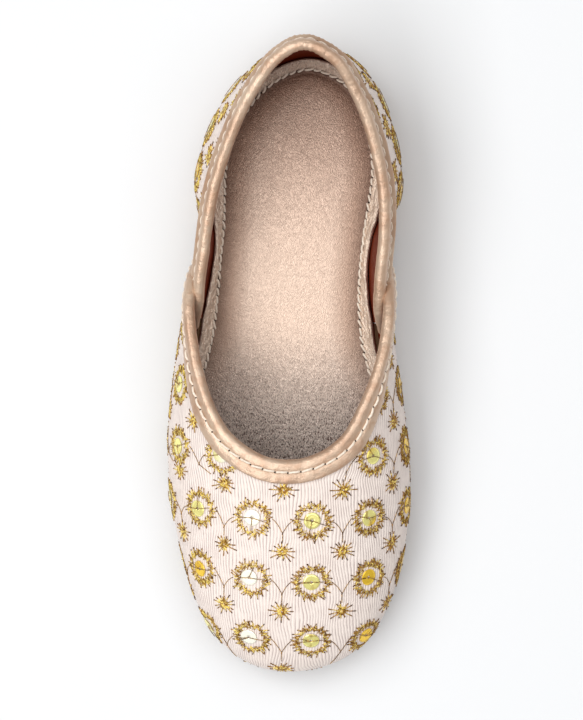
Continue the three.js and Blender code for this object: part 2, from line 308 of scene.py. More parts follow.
def piece_of(bm, name, materials, levels=0, node=None):
    """Turns a bmesh into a piece of the shoe that rides on its body."""
    mesh = bpy.data.meshes.new(name)
    bm.to_mesh(mesh)
    bm.free()
    for material in materials:
        mesh.materials.append(material)
    piece = placed(name, mesh)
    if levels:
        rounding = piece.modifiers.new("rounding", "SUBSURF")
        rounding.levels = levels
        rounding.render_levels = levels
        rounded = evaluated(piece)
        piece.modifiers.clear()
        piece.data = rounded
    piece.data.shade_smooth()
    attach(piece, "root")
    if node:
        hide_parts(node)
    print(name, len(piece.data.polygons), "faces")
    return piece


def evaluated(thing):
    """The mesh that an object comes to with its modifier or its bevel."""
    view = bpy.context.evaluated_depsgraph_get()
    return bpy.data.meshes.new_from_object(thing.evaluated_get(view))


def tree_of(piece, material=None):
    """A search tree of a piece, or of its faces of one material."""
    bm = bmesh.new()
    bm.from_mesh(piece.data)
    if material is not None:
        others = [face for face in bm.faces if face.material_index != material]
        bmesh.ops.delete(bm, geom=others, context="FACES")
    tree = BVHTree.FromBMesh(bm)
    bm.free()
    return tree


def finder(places):
    """A search tree of places."""
    tree = KDTree(len(places))
    for k, place in enumerate(places):
        tree.insert(place, k)
    tree.balance()
    return tree


def standing(place, normal):
    """The matrix that stands something on a surface."""
    return Matrix.Translation(place) @ normal.to_track_quat("Z", "Y").to_matrix().to_4x4()


# %% [markdown]
# ## Fabric, lining, leather and thread
# The fabric is a pinkish ivory with fine tucks that run lengthwise and wander a little, with painted shade
# in their grooves. The gold thread is metal wound on a core; its bright and dark turns are painted
# highlights and painted shade, and it is painted lighter on the side where the key light stands.

# %% Fabric
RIB_PITCH = 0.8  # mm from one tuck of the fabric to the next
WEFT_PITCH = 0.3  # mm from one thread across the tucks to the next
REPEAT = 16.4  # mm from one medallion of the embroidery to the next, both ways
TAU = 2 * math.pi


def fabric():
    f = Finish("ribbed_fabric", Roughness=0.82, Sheen_Weight=0.2, Sheen_Roughness=0.4)
    lie, place = f.lie(), f.place()
    across, along = f.part_of(lie, 0), f.part_of(lie, 1)
    pulled = (across * (TAU / REPEAT)).sine() * (along * (TAU / REPEAT)).sine() * 0.5
    wander = (f.noise(lie, 0.08, 1) - 0.5) * 2.0 + (f.noise(lie, 0.4, 1) - 0.5) * 0.32
    phase = (across + wander + pulled) * (TAU / RIB_PITCH)
    rib = phase.sine() * 0.5 + 0.5
    bunched = f.noise(lie, 0.3, 2).smooth(0.3, 0.62) * 0.7 + 0.3
    # painted shade: the grooves between the tucks are painted darker, more where the tucks bunch
    groove = (1 - rib.smooth(0.0, 0.42)) * bunched
    thread = (along * (TAU / WEFT_PITCH)).sine() * 0.5 + 0.5
    patch = f.noise(place, 90, 3)
    fibre = f.noise(lie, 3.2, 2)
    ivory = f.mix(patch, rgb(248, 237, 229), rgb(243, 228, 218))
    ivory = f.mix(fibre * 0.25, ivory, rgb(236, 214, 202))
    colour = f.mix(groove * 0.75, ivory, rgb(172, 152, 148))
    height = rib * 0.75 + thread * 0.12 + fibre * 0.25
    soft = f.bump(patch, 0.5 * MM, 0.5)
    return f.wear(Base_Color=colour, Normal=f.bump(height, 0.16 * MM, 0.9, soft))


def lining():
    f = Finish("rust_lining", Specular_IOR_Level=0.2)
    place = f.place()
    mottle = f.noise(place, 160, 4, 0.6)
    grain = f.cells(place, 1300)
    colour = f.mix(mottle, rgb(146, 54, 22), rgb(82, 26, 12))
    rough = mottle * 0.25 + 0.45
    return f.wear(Base_Color=colour, Roughness=rough, Normal=f.bump(grain, 0.08 * MM, 0.7))


FABRIC = fabric()
LINING = lining()

# %% Leather and rubber
# The insole's leather gets painted shade along its seam and inwards from it
SHADE_STARTS = 3.3  # mm outside the insole's seam, where its leather's shading starts
SHADE_WIDTH = 20  # mm that the shading runs inwards from there
TREAD_PITCH = 2.4 * MM


def satin_leather():
    f = Finish("satin_leather", Metallic=0.42, Coat_Weight=0.3, Coat_Roughness=0.25)
    place = f.place()
    cloud = f.noise(place, 95, 3)
    streak = f.noise(place, 420, 3)
    grain = f.cells(place, 2300)
    tan = f.mix(cloud.smooth(0.3, 0.7), rgb(188, 154, 128), rgb(208, 182, 158))
    colour = f.mix(streak.smooth(0.46, 0.7) * 0.5, tan, rgb(184, 142, 112))
    rough = cloud * 0.14 + streak * 0.2 + 0.22
    rise = f.bump(cloud, 0.5 * MM, 0.5)
    fine = f.bump(streak, 0.35 * MM, 0.7, rise)
    return f.wear(Base_Color=colour, Roughness=rough, Normal=f.bump(grain, 0.07 * MM, 0.7, fine))


def footbed_leather():
    f = Finish("footbed_leather", Coat_Weight=0.1, Coat_Roughness=0.3)
    place = f.place()
    from_edge = (f.part_of(f.lie(), 0) + SHADE_STARTS) / SHADE_WIDTH
    slanted = f.stretched(place, 0.7, (1, 0.6, 1))
    folding = f.stretched(place, -0.3, (0.3, 1, 1))
    crackle = f.cells(slanted, 2600, "DISTANCE_TO_EDGE").smooth(0.0, 0.3)
    pebble = f.noise(slanted, 3000, 2, 0.5)
    cloud = f.noise(place, 28, 3)
    toe = f.part_of(place, 1).smooth(0.012, -0.03)
    heel = f.part_of(place, 1).smooth(0.02, 0.075)
    inner = from_edge.smooth(0.15, 0.2)
    middle = f.mix(cloud, rgb(228, 203, 184), rgb(220, 193, 173))
    # painted shade: inside the seam the heel is darker, where the collar shades it
    middle = f.mix(heel * inner * 0.5, middle, rgb(206, 166, 144))
    # painted light: the leather under the vamp is lighter, against the vamp's shadow there
    middle = f.mix(toe, middle, rgb(255, 238, 224))
    # painted highlight: the raised rim outside the seam is lighter
    middle = f.mix((1 - inner) * 0.55, middle, rgb(250, 230, 208))
    # painted shade along the seam: darker at the very edge, none on the rim, darkest just inside the seam,
    # fading inwards
    stops = [
        (0.0, (0.5, 0.46, 0.44, 1)),
        (0.05, (1, 1, 1, 1)),
        (0.13, (1, 1, 1, 1)),
        (0.175, (0.26, 0.2, 0.17, 1)),
        (0.24, (0.45, 0.38, 0.34, 1)),
        (0.36, (0.7, 0.63, 0.59, 1)),
        (0.6, (1, 1, 1, 1)),
    ]
    light = f.node("ShaderNodeValToRGB", {"stops": stops}, {"Fac": from_edge})
    # less of that painted shade under the vamp
    light = f.mix(toe * 0.8, light, (1, 1, 1, 1))
    shaded = f.mix(1, middle, light, "MULTIPLY")
    # the grain is darker at the toe and the heel: partly real grain, partly painted shade, as grain looks
    # in grazing light
    depth = toe * 0.3 + heel * 0.2 + 0.12
    pits = ((1 - crackle) * 0.2 + (1 - pebble.smooth(0.37, 0.43))) * depth
    folds = f.noise(folding, 1500, 3)
    pits = pits + ((1 - pebble.smooth(0.34, 0.6)) * 0.42 + (1 - folds.smooth(0.36, 0.56)) * 0.24) * toe
    colour = f.mix(pits, shaded, rgb(88, 54, 40))
    rough = 0.4 - crackle * 0.12 + pebble * 0.12
    creased = f.noise(slanted, 650, 2) * (1 - inner) * 2.5
    height = (crackle * 0.5 + pebble) * (depth + 0.1 + toe * 0.4) + folds * toe * 0.6 + creased
    metal = 0.45 - toe * 0.3
    bumps = f.bump(height, 0.45 * MM, 1)
    return f.wear(Base_Color=colour, Metallic=metal, Roughness=rough, Normal=bumps)


def sole_rubber(name, tread):
    """Rubber with a speckle; where it treads, fine ridges cross the shoe, with painted shade in the grooves
    between them.
    """
    f = Finish(name)
    place = f.place()
    speck = f.noise(place, 900, 2)
    cloud = f.noise(place, 40, 3)
    colour = f.mix(cloud, rgb(176, 138, 100), rgb(158, 118, 82))
    colour = f.mix(speck.smooth(0.6, 0.75) * 0.4, colour, rgb(112, 80, 52))
    rough = cloud * 0.2 + 0.55
    bumps = f.bump(speck, 0.06 * MM, 0.6)
    if tread:
        ridge = (f.part_of(place, 1) * (TAU / TREAD_PITCH)).sine().smooth(-0.2, 0.6)
        # painted shade in the grooves between the ridges
        colour = f.mix((1 - ridge) * 0.5, colour, rgb(104, 74, 48))
        bumps = f.bump(ridge, 0.35 * MM, 1, bumps)
    return f.wear(Base_Color=colour, Roughness=rough, Normal=bumps)


LEATHER = satin_leather()
FOOTBED = footbed_leather()
RUBBER = sole_rubber("tan_rubber", False)
TREAD = sole_rubber("tread_rubber", True)

# %% Threads and sequins


def metal_thread(name, light, deep, metallic):
    """Metal wound on a core: bright and dark by turns, as painted highlights and painted shade."""
    f = Finish(name, Metallic=metallic, Roughness=0.36)
    place = f.place()
    turns = f.noise(place, 1400, 2)
    age = f.noise(place, 600, 1)
    # painted light: the thread is painted lighter on the -X side, where the key light stands, and darker on
    # the +X side
    painted_side_light = turns - f.part_of(place, 0) * 1.6
    # painted highlights and painted shade: the turns mix the light and the deep colour
    colour = f.mix(painted_side_light.smooth(0.42, 0.58), deep, light)
    colour = f.mix(age.smooth(0.52, 0.64) * 0.75, colour, deep)
    return f.wear(Base_Color=colour, Normal=f.bump(turns, 0.08 * MM, 0.8))


def foil():
    f = Finish("sequin_foil")
    place = f.place()
    side = f.part_of(place, 0)
    # painted shade: besides a random tone, the sequins on the +X side are painted a deeper yellow
    tint = f.noise(place, 60, 0) - side.smooth(0.012, 0.03) * 0.2
    # painted glare: a band of sequins left of the middle, on the -X side where the key light stands, is
    # painted near white and less metallic
    painted_glare = side.smooth(-0.002, -0.006) * side.smooth(-0.02, -0.015)
    wave = f.noise(place, 420, 1)
    colour = f.mix(tint.smooth(0.3, 0.42), rgb(250, 206, 62), rgb(255, 246, 156))
    # painted reflection: patches of the foil are painted dark bronze, as dark reflections
    colour = f.mix(wave.smooth(0.42, 0.3) * 0.6, colour, rgb(170, 122, 30))
    colour = f.mix(painted_glare, colour, rgb(255, 252, 234))
    metal = 0.5 - painted_glare * 0.42
    rough = wave * 0.3 + 0.08
    bumps = f.bump(wave, 0.15 * MM, 0.4)
    return f.wear(Base_Color=colour, Metallic=metal, Roughness=rough, Normal=bumps)


def cream_thread():
    f = Finish("cream_thread")
    place = f.place()
    ply = f.noise(place, 1500, 2)
    colour = f.mix(ply, rgb(255, 246, 232), rgb(222, 198, 174))
    return f.wear(Base_Color=colour, Roughness=ply * 0.2 + 0.5, Normal=f.bump(ply, 0.08 * MM, 0.8))


# painted shade: a needle hole is drawn as a dark dimple, its dark standing for the shade inside the hole
def needle_hole():
    f = Finish("needle_hole")
    depth = f.noise(f.place(), 600, 1)
    return f.wear(Base_Color=f.mix(depth, rgb(58, 36, 24), rgb(34, 20, 14)), Roughness=depth * 0.1 + 0.85)


# each thread's first colour is its painted highlight, its second its painted shade
GOLD = metal_thread("gold_thread", rgb(255, 230, 128), rgb(166, 116, 36), 0.5)
DARK_GOLD = metal_thread("dark_gold_thread", rgb(164, 114, 42), rgb(80, 48, 14), 0.4)
VINE_GOLD = metal_thread("vine_thread", rgb(196, 154, 86), rgb(104, 70, 32), 0.4)
FOIL = foil()
CREAM = cream_thread()
HOLE = needle_hole()
print("materials:", len(bpy.data.materials))

# %% [markdown]
# ## Upper
# The upper is two lined shells. Each copy keeps its solid's form, is rounded, and gets fabric outside and
# lining inside. Where the vamp's wings lap over the quarter's ends, the two are pressed together, and the
# quarter's cloth ends inside its binding. The tucks of the fabric follow a map in millimetres: on the vamp
# across the shoe, from its middle line, and on the quarter up its wall.

# %% Shells
AXIS_X = 4 * MM  # the line through the middle of heel and toe
CORE_HEIGHT = 13 * MM  # a level inside the shoe that the vamp's slices are measured from
QUARTER_CORE = Vector((4, 45, 0)) * MM  # and the upright line for the quarter's
TOE_DEPTH = 14 * MM  # the line inside the vamp ends this far from the toe's tip
HEEL_DEPTH = 30 * MM  # and the one inside the quarter this far from the heel
FACE_FABRIC, FACE_LINING = 0, 1

# Where the shells overlap they move sideways: the Y where that begins, the Y where it is full, how far
QUARTER_FRONT = (30 * MM, 8 * MM, 1.3 * MM)  # the quarter's ends spread
VAMP_WINGS = (4 * MM, 28 * MM, -1.3 * MM)  # the vamp's wings close in on them
TURNED_BACK = 2.5 * MM  # the quarter's cloth ends this far inside its binding's ends
TURNING = (22 * MM, 8 * MM)  # and is drawn back between these


def rise(value, low, high):
    """0 at low, 1 at high and smooth between; low may be the greater one."""
    t = min(max((value - low) / (high - low), 0), 1)
    return t * t * (3 - 2 * t)


def pressed(place, start, end, shift):
    """A place moved sideways, by more the nearer it is to an end that overlaps."""
    side = 1 if place.x > AXIS_X else -1
    return place + Vector((side * shift * rise(place.y, start, end), 0, 0))


def press(piece, ends):
    for vertex in piece.data.vertices:
        vertex.co = pressed(vertex.co, *ends)


def shell_piece(node, core_of):
    """A shell's copy: faces that look away from the core line are fabric, the rest lining."""
    bm = copy_of(node)
    for face in bm.faces:
        middle = face.calc_center_median()
        away = face.normal.dot(middle - core_of(middle))
        face.material_index = FACE_FABRIC if away > 0 else FACE_LINING
    return piece_of(bm, node + "_skin", [FABRIC, LINING], levels=2, node=node)


def vamp_core(point):
    return Vector((AXIS_X, max(point.y, cad_low.y + TOE_DEPTH), CORE_HEIGHT))


def quarter_core(point):
    return Vector((QUARTER_CORE.x, min(point.y, cad_high.y - HEEL_DEPTH), point.z))


vamp = shell_piece("upper_vamp", vamp_core)
quarter = shell_piece("upper_quarter", quarter_core)
press(vamp, VAMP_WINGS)
press(quarter, QUARTER_FRONT)
for vertex in quarter.data.vertices:
    vertex.co.y += TURNED_BACK * rise(vertex.co.y, *TURNING)
vamp_tree = tree_of(vamp, FACE_FABRIC)
quarter_tree = tree_of(quarter, FACE_FABRIC)

# %% [markdown]
# ## Measuring the cloth
# To lay embroidery on a curved shell, its surface is measured as a tailor would: the shell is cut by a
# plane, and lengths are walked along the cut. Rays from outside find the cut's points.

# %% Slices
REACH = 120 * MM  # rays start this far from a core
RAYS = 240  # to each half of a cut
VAMP_SPREAD = 125  # degrees from straight up that reach past the vamp's foot
QUARTER_SPREAD = 150  # degrees from the heel's middle that reach past the quarter's front ends
AT_TOP = math.radians(3)


def upright_spoke(angle):
    return Vector((math.sin(angle), 0, math.cos(angle)))


def level_spoke(angle):
    return Vector((math.sin(angle), math.cos(angle), 0))


def slice_points(tree, core, spoke, low, high):
    """Where spokes from low to high degrees round a core meet a shell from outside."""
    found = []
    for k in range(RAYS + 1):
        angle = math.radians(low + (high - low) * k / RAYS)
        out = spoke(angle)
        hit, normal, _, _ = tree.ray_cast(core + out * REACH, -out, REACH)
        if hit is not None and normal.dot(out) > 0:
            found.append((angle, hit, normal))
    return found


def walked(points):
    """The length walked along a cut up to each of its points."""
    lengths = [0.0]
    for before, after in zip(points, points[1:]):
        lengths.append(lengths[-1] + (after[1] - before[1]).length)
    return lengths


def at_length(points, lengths, walk):
    """The place and the normal that a walk of this length along a cut leads to."""
    k = next(i for i, length in enumerate(lengths) if length >= walk)
    return points[k][1:]


def meets_top(points):
    """Whether a half cut of the vamp runs up to its middle line, and doesn't end at the throat."""
    return abs(points[-1][0]) < AT_TOP


def vamp_cut(y, side):
    """One half of the vamp's cut at y, from the sole's edge up: (angle, point, normal) and lengths."""
    core = Vector((AXIS_X, y, CORE_HEIGHT))
    points = slice_points(vamp_tree, core, upright_spoke, side * VAMP_SPREAD, 0)
    return points, walked(points)


def quarter_cut(z):
    """The quarter's cut at height z, from the heel's middle to each side."""
    core = Vector((QUARTER_CORE.x, QUARTER_CORE.y, z))
    halves = {}
    for side in (-1, 1):
        points = slice_points(quarter_tree, core, level_spoke, 0, side * QUARTER_SPREAD)
        halves[side] = (points, walked(points))
    return halves


# %% Cloth maps
MAP_STEP = 2 * MM
MAP_COLUMNS = 60
TUCK_SLOPE = 0.2  # the quarter's tucks fall towards the toe by this share
HEEL_RADIUS = 32  # mm, which turns an angle round the heel into a length


def map_vamp():
    """Writes each corner's place on the cloth: millimetres across from the middle line, and along."""
    rows = np.arange(cad_low.y + 1.0 * MM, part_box("upper_vamp")[1].y, MAP_STEP)
    angles = np.radians(np.linspace(0, VAMP_SPREAD, MAP_COLUMNS))
    tables = {}
    for side in (-1, 1):
        table = np.zeros((len(rows), len(angles)))
        half = 0.0
        for j, y in enumerate(rows):
            points, lengths = vamp_cut(y, side)
            if len(points) < 3:
                table[j] = table[j - 1]
                continue
            half = lengths[-1] if meets_top(points) else max(half, lengths[-1])
            known = np.array([abs(p[0]) for p in points])[::-1]
            from_top = (half - np.array(lengths))[::-1]
            table[j] = np.interp(angles, known, from_top)
        tables[side] = table
    layer = vamp.data.uv_layers.new(name="lie")
    for corner in vamp.data.loops:
        at = vamp.data.vertices[corner.vertex_index].co
        side = -1 if at.x < AXIS_X else 1
        angle = abs(math.atan2(at.x - AXIS_X, at.z - CORE_HEIGHT))
        row = min(max((at.y - rows[0]) / MAP_STEP, 0), len(rows) - 1.001)
        column = min(angle / math.radians(VAMP_SPREAD) * (MAP_COLUMNS - 1), MAP_COLUMNS - 1.001)
        j, k = int(row), int(column)
        table = tables[side]
        near, far = (table[i, k] * (1 - column + k) + table[i, k + 1] * (column - k) for i in (j, j + 1))
        across = near + (far - near) * (row - j)
        layer.data[corner.index].uv = (side * across / MM, at.y / MM)


def map_quarter():
    """The quarter's tucks run round the heel, level with its collar."""
    layer = quarter.data.uv_layers.new(name="lie")
    for corner in quarter.data.loops:
        at = quarter.data.vertices[corner.vertex_index].co
        turn = math.atan2(at.x - QUARTER_CORE.x, at.y - QUARTER_CORE.y)
        layer.data[corner.index].uv = ((at.z - TUCK_SLOPE * at.y) / MM, turn * HEEL_RADIUS)


map_vamp()
map_quarter()
print("cloth maps written")

# %% [markdown]
# ## Embroidery
# The pattern is a traditional repeat: rows of round medallions, each a wavy ring of gold thread with burrs
# and a sequin a little off its middle, with small star sprigs set between the rows. A fine vine swings
# from medallion to medallion and hangs a short stem over each star. Each motif is drawn flat, in
# millimetres, and laid on the shell along the normal at its middle. Threads become tubes.

# %% Motifs drawn flat
SEQUIN_RADIUS = 2.25
HOLE_RADIUS = (2.5, 3.1)  # of the rings' inside, which differs from one medallion to the next
BAND_MIDDLE = (4.0, 4.2)  # the rings' legs turn inside the first radius and outside the second
BAND_RADIUS = 5.3
SPIKE_REACH = 5.9
RINGS = ((42, 0.8), (38, -0.9), (34, 0.2), (30, 1.5))  # the legs of each ring of thread, and their lean
chance = random.Random(11)


def polar(radius, angle):
    return (radius * math.cos(angle), radius * math.sin(angle))


def toward(start, end, share):
    """The place a share of the way from one flat place to another."""
    return (start[0] + (end[0] - start[0]) * share, start[1] + (end[1] - start[1]) * share)


def zigzag(legs, lean, hole):
    """A line that goes in and out round the medallion's band, with legs that lean."""
    angle = chance.random() * TAU
    line = []
    for k in range(legs + 1):
        inside = k % 2
        between = (hole, BAND_MIDDLE[0]) if inside else (BAND_MIDDLE[1], BAND_RADIUS)
        radius = chance.uniform(*between)
        line.append(polar(radius, angle + chance.uniform(-0.05, 0.05)))
        angle += TAU / legs * (1 + lean if inside else 1 - lean)
    return line


def medallion():
    """The medallion's threads as flat lines by kind, and where its sequin lies."""
    hole = chance.uniform(*HOLE_RADIUS)
    gold = [zigzag(legs, lean, hole) for legs, lean in RINGS]
    dark = []
    for k in range(18):
        middle = polar(chance.uniform(3.6, 4.9), TAU * (k + chance.random()) / 18)
        reach = polar(chance.uniform(0.3, 0.6), chance.random() * TAU)
        cross = [(middle[0] - reach[0], middle[1] - reach[1]), (middle[0] + reach[0], middle[1] + reach[1])]
        (dark if k % 3 else gold).append(cross)
    spikes = chance.randint(19, 23)
    for k in range(spikes):
        angle = TAU * (k + chance.uniform(-0.3, 0.3)) / spikes
        root = polar(4.3, angle)
        tip = polar(SPIKE_REACH * chance.uniform(0.9, 1.04), angle + chance.uniform(-0.2, 0.2))
        gold.append([root, toward(root, tip, 0.75)])
        dark.append([toward(root, tip, 0.7), tip])
    offset = (chance.uniform(-0.75, -0.1), chance.uniform(-0.35, 0.45))
    across = [[polar(3.6, chance.uniform(-0.35, 0.35)), offset]]
    across.append([polar(3.6, math.pi + chance.uniform(-0.3, 0.3)), offset])
    across.append([polar(3.4, chance.choice((0.8, 2.2, 4.0)) + chance.random()), offset])
    return gold, dark, across, offset


def star():
    """A sprig of uneven rays with dark tips, wider than it is tall."""
    gold, dark = [], []
    rays = chance.randint(11, 13)
    for k in range(rays):
        angle = TAU * (k + chance.uniform(-0.25, 0.25)) / rays
        reach = chance.uniform(2.5, 4.1)
        root = polar(0.25, angle)
        tip = (reach * 1.02 * math.cos(angle), reach * 0.86 * math.sin(angle))
        beside = polar(chance.uniform(1.4, 2.2), angle + chance.uniform(0.1, 0.25))
        gold.append([root, toward(root, tip, 0.8)])
        gold.append([root, beside])
        dark.append([toward(root, tip, 0.72), tip])
        (dark if k % 4 == 0 else gold).append([polar(1.2, angle + 0.4), polar(1.1, angle + 2.2)])
    return gold, dark


# %% Laying threads on a shell
CAST_HEIGHT = 7 * MM  # a drawn point is looked for from this far above its motif
CAST_LENGTH = 16 * MM
LEAST_FACING = 0.25  # a motif ends where the shell turns away from it by more
SEQUIN_REST = 1.4  # mm from a sequin's middle to the places that it rests on
VINE_STEPS = 14
VINE_SAG = 0.6 * MM
FOOT_AT_HEEL, HEEL_LIFT, TOE_SPRING = 10.3, 6, 5  # mm, as the solids have them


def sole_level(point):
    """The lowest height that embroidery reaches: just above the shell's foot."""
    share = (cad_high.y - point.y) / (cad_high.y - cad_low.y)
    fallen = min(1, max(0, (share - 0.18) / 0.4))
    sprung = max(0, (share - 0.74) / 0.26) ** 2
    return (FOOT_AT_HEEL - HEEL_LIFT * fallen + TOE_SPRING * sprung) * MM


class Cloth:
    """A shell with threads laid on it. Along is the way up a motif. A seat is where a motif's middle lies:
    a place on the shell and its normal."""

    def __init__(self, name, tree, along):
        self.name = name
        self.tree = tree
        self.along = along
        self.gold, self.dark, self.vines, self.sequins = [], [], [], []

    def basis(self, normal):
        across = self.along.cross(normal).normalized()
        return across, normal.cross(across).normalized()

    def spot(self, flat, seat, lift):
        """The place on the shell of a flat point of a motif, or None beyond the shell's edge."""
        middle, normal = seat
        across, up = self.basis(normal)
        point = middle + across * flat[0] * MM + up * flat[1] * MM
        hit, face, _, _ = self.tree.ray_cast(point + normal * CAST_HEIGHT, -normal, CAST_LENGTH)
        if hit is None or face.dot(normal) < LEAST_FACING or hit.z < sole_level(hit):
            return None
        return hit + face * lift

    def lay(self, kind, line, seat, lift):
        """Lays a flat line at a seat, and leaves out what falls past the shell's edge."""
        run = []
        for flat in self.filled(line):
            place = self.spot(flat, seat, lift)
            if place is None:
                self.keep(kind, run)
                run = []
            else:
                run.append(place)
        self.keep(kind, run)

    def filled(self, line, step=1.3):
        """A line with points added where it would cut through the curved shell."""
        for (a, b), (c, d) in zip(line, line[1:]):
            parts = max(1, round(math.hypot(c - a, d - b) / step))
            for k in range(parts):
                yield (a + (c - a) * k / parts, b + (d - b) * k / parts)
        yield line[-1]

    def keep(self, kind, run):
        if len(run) > 1:
            kind.append(run)

    def medallion(self, seat):
        gold, dark, across_sequin, (a, b) = medallion()
        for line in gold:
            self.lay(self.gold, line, seat, chance.uniform(0.08, 0.24) * MM)
        for line in dark:
            self.lay(self.dark, line, seat, chance.uniform(0.14, 0.28) * MM)
        for line in across_sequin:
            self.lay(self.vines, line, seat, 0.56 * MM)
        place = self.spot((a, b), seat, 0.3 * MM)
        rest = SEQUIN_REST
        flats = ((a - rest, b), (a + rest, b), (a, b - rest), (a, b + rest))
        rim = [self.spot(flat, seat, 0) for flat in flats]
        if place is not None and None not in rim:
            tilt = Vector([chance.uniform(-0.05, 0.05) for _ in range(3)])
            facing = (rim[1] - rim[0]).cross(rim[3] - rim[2]).normalized()
            facing = facing if facing.dot(seat[1]) > 0 else -facing
            self.sequins.append((place, (facing + tilt).normalized()))

    def star(self, seat):
        gold, dark = star()
        for line in gold:
            self.lay(self.gold, line, seat, chance.uniform(0.1, 0.2) * MM)
        for line in dark:
            self.lay(self.dark, line, seat, chance.uniform(0.12, 0.2) * MM)

    def knot(self, place):
        """A tight stitch where two vines meet."""
        hit, face, _, _ = self.tree.find_nearest(place)
        if hit.z > sole_level(hit):
            run = [hit + face * 0.12 * MM + Vector((k * 0.1, k * 0.32, 0)) * MM for k in (-1, 0, 1)]
            self.keep(self.dark, run)

    def vine(self, start, end, sag):
        """A thread between two places of the shell that bows up its motifs, kept on the surface."""
        run = []
        for k in range(VINE_STEPS + 1):
            t = k / VINE_STEPS
            place = start.lerp(end, t) + self.along * sag * 4 * t * (1 - t)
            hit, face, _, _ = self.tree.find_nearest(place)
            if hit is None or hit.z < sole_level(hit):
                break
            run.append(hit + face * 0.1 * MM)
        self.keep(self.vines, run)

    def row(self, columns, medallion_at, gaps, stars_at, knot_at):
        """A row of medallions, and in the gaps beside them the stars and the knotted vines."""
        places = {}
        for column in columns:
            seat = medallion_at(column)
            if seat:
                places[column] = seat
                self.medallion(seat)
        for column in gaps:
            stars = [star_at(column + 0.5) for star_at in stars_at]
            for seat in filter(None, stars):
                self.star(seat)
            knot = knot_at(column + 0.5)
            if knot is None:
                continue
            self.knot(knot[0])
            for neighbour, direction in ((column, 1), (column + 1, -1)):
                if neighbour in places:
                    self.vine(self.edge(places[neighbour], direction, knot[0]), knot[0], VINE_SAG)
            if stars and stars[0]:
                self.vine(knot[0], stars[0][0].lerp(knot[0], 0.5), 0)


# %% Thread tubes and sequins
SEQUIN_RINGS = ((1, 0), (0.72, -0.04), (0.4, -0.06), (0.17, -0.02))  # share of its radius, mm above the rim
SEQUIN_THICKNESS = 0.07 * MM


def thread_piece(name, runs, radius, material, sides=0):
    """All the threads of one kind as one mesh of thin tubes."""
    curve = bpy.data.curves.new(name, "CURVE")
    curve.dimensions = "3D"
    curve.bevel_depth = radius
    curve.bevel_resolution = sides
    curve.use_fill_caps = True
    for run in runs:
        spline = curve.splines.new("POLY")
        spline.points.add(len(run) - 1)
        for point, place in zip(spline.points, run):
            point.co = (*place, 1)
    holder = placed(name + "_line", curve)
    bm = bmesh.new()
    bm.from_mesh(evaluated(holder))
    bpy.data.objects.remove(holder)
    bmesh.ops.recalc_face_normals(bm, faces=bm.faces)
    return piece_of(bm, name, [material])


def sequin_piece(name, sequins):
    """Thin cupped discs with a hole, one at each place."""
    bm = bmesh.new()
    for place, facing in sequins:
        rims = []
        for share, level in SEQUIN_RINGS:
            there = standing(place + facing * level * MM, facing)
            radius = share * SEQUIN_RADIUS * MM
            made = bmesh.ops.create_circle(bm, segments=20, radius=radius, matrix=there)
            rims.append(sorted({e for v in made["verts"] for e in v.link_edges}, key=lambda e: e.index))
        for outer, inner in zip(rims, rims[1:]):
            bmesh.ops.bridge_loops(bm, edges=outer + inner)
    bmesh.ops.recalc_face_normals(bm, faces=bm.faces)
    bmesh.ops.solidify(bm, geom=bm.faces[:], thickness=SEQUIN_THICKNESS)
    return piece_of(bm, name, [FOIL])


# %% [markdown]
# ## Where the motifs go
# On the vamp the rows cross the shoe. Each row is at a distance from the toe, and its medallions stand a
# repeat apart, walked along the cut from the middle line. The stars' rows lie between, half a repeat over.

# %% Vamp's pattern
FIRST_ROW = 10.3  # mm from the toe's tip to the first row of medallions
VAMP_ROWS = 8
MIDDLE_COLUMN = 4.1  # mm from the axis to the nearest column of medallions
STAR_DROP = 8.2  # mm from a row of medallions to the stars below it
ROW_BEND = 0.003  # the cloth is pulled round the last, so its rows bend up towards their ends
BEND_END = 36  # mm from the middle to where a row runs straight again
KNOT_DROP = 3.4  # mm from a row of medallions to the knots of its vines
THROAT_Y = -30 * MM  # just in front of the throat

VAMP_HALF = vamp_cut(THROAT_Y, 1)[1][-1]  # the cloth from the sole to the middle line there


def on_vamp(y, across):
    """The place on the vamp a distance in mm across from the middle line, or None."""
    side = -1 if across < 0 else 1
    y += ROW_BEND * min(abs(across), BEND_END) ** 2 * MM
    points, lengths = vamp_cut(y, side)
    if len(points) < 4:
        return None
    half = lengths[-1] if meets_top(points) else max(lengths[-1], VAMP_HALF)
    walk = half - abs(across) * MM
    if walk < 0 or walk > lengths[-1]:
        return None
    return at_length(points, lengths, walk)


def on_row(y):
    """Gives what finds a column's place on the vamp's row at y."""
    return lambda column: on_vamp(y, MIDDLE_COLUMN + column * REPEAT)


class VampCloth(Cloth):
    """Its vines leave a medallion straight across from the middle."""

    def edge(self, seat, direction, knot):
        return seat[0] + self.basis(seat[1])[0] * direction * BAND_RADIUS * MM


vamp_cloth = VampCloth("vamp", vamp_tree, Vector((0, 1, 0)))
VAMP_COLUMNS = range(-4, 5)
for number in range(VAMP_ROWS):
    y = cad_low.y + (FIRST_ROW + number * REPEAT) * MM
    stars_y = y - STAR_DROP * MM
    stars_at = [on_row(stars_y)] if stars_y > cad_low.y + 1.5 * MM else []
    vamp_cloth.row(VAMP_COLUMNS, on_row(y), VAMP_COLUMNS, stars_at, on_row(y - KNOT_DROP * MM))

# %% Quarter's pattern
QUARTER_ROWS = (20.5, 36)  # heights of the medallions' rows, mm
QUARTER_REPEAT = 12.6  # mm round the heel from one medallion to the next


class QuarterCloth(Cloth):
    """Its vines leave a medallion on the way to their knot."""

    def edge(self, seat, direction, knot):
        return seat[0].lerp(knot, BAND_RADIUS / (QUARTER_REPEAT / 2))


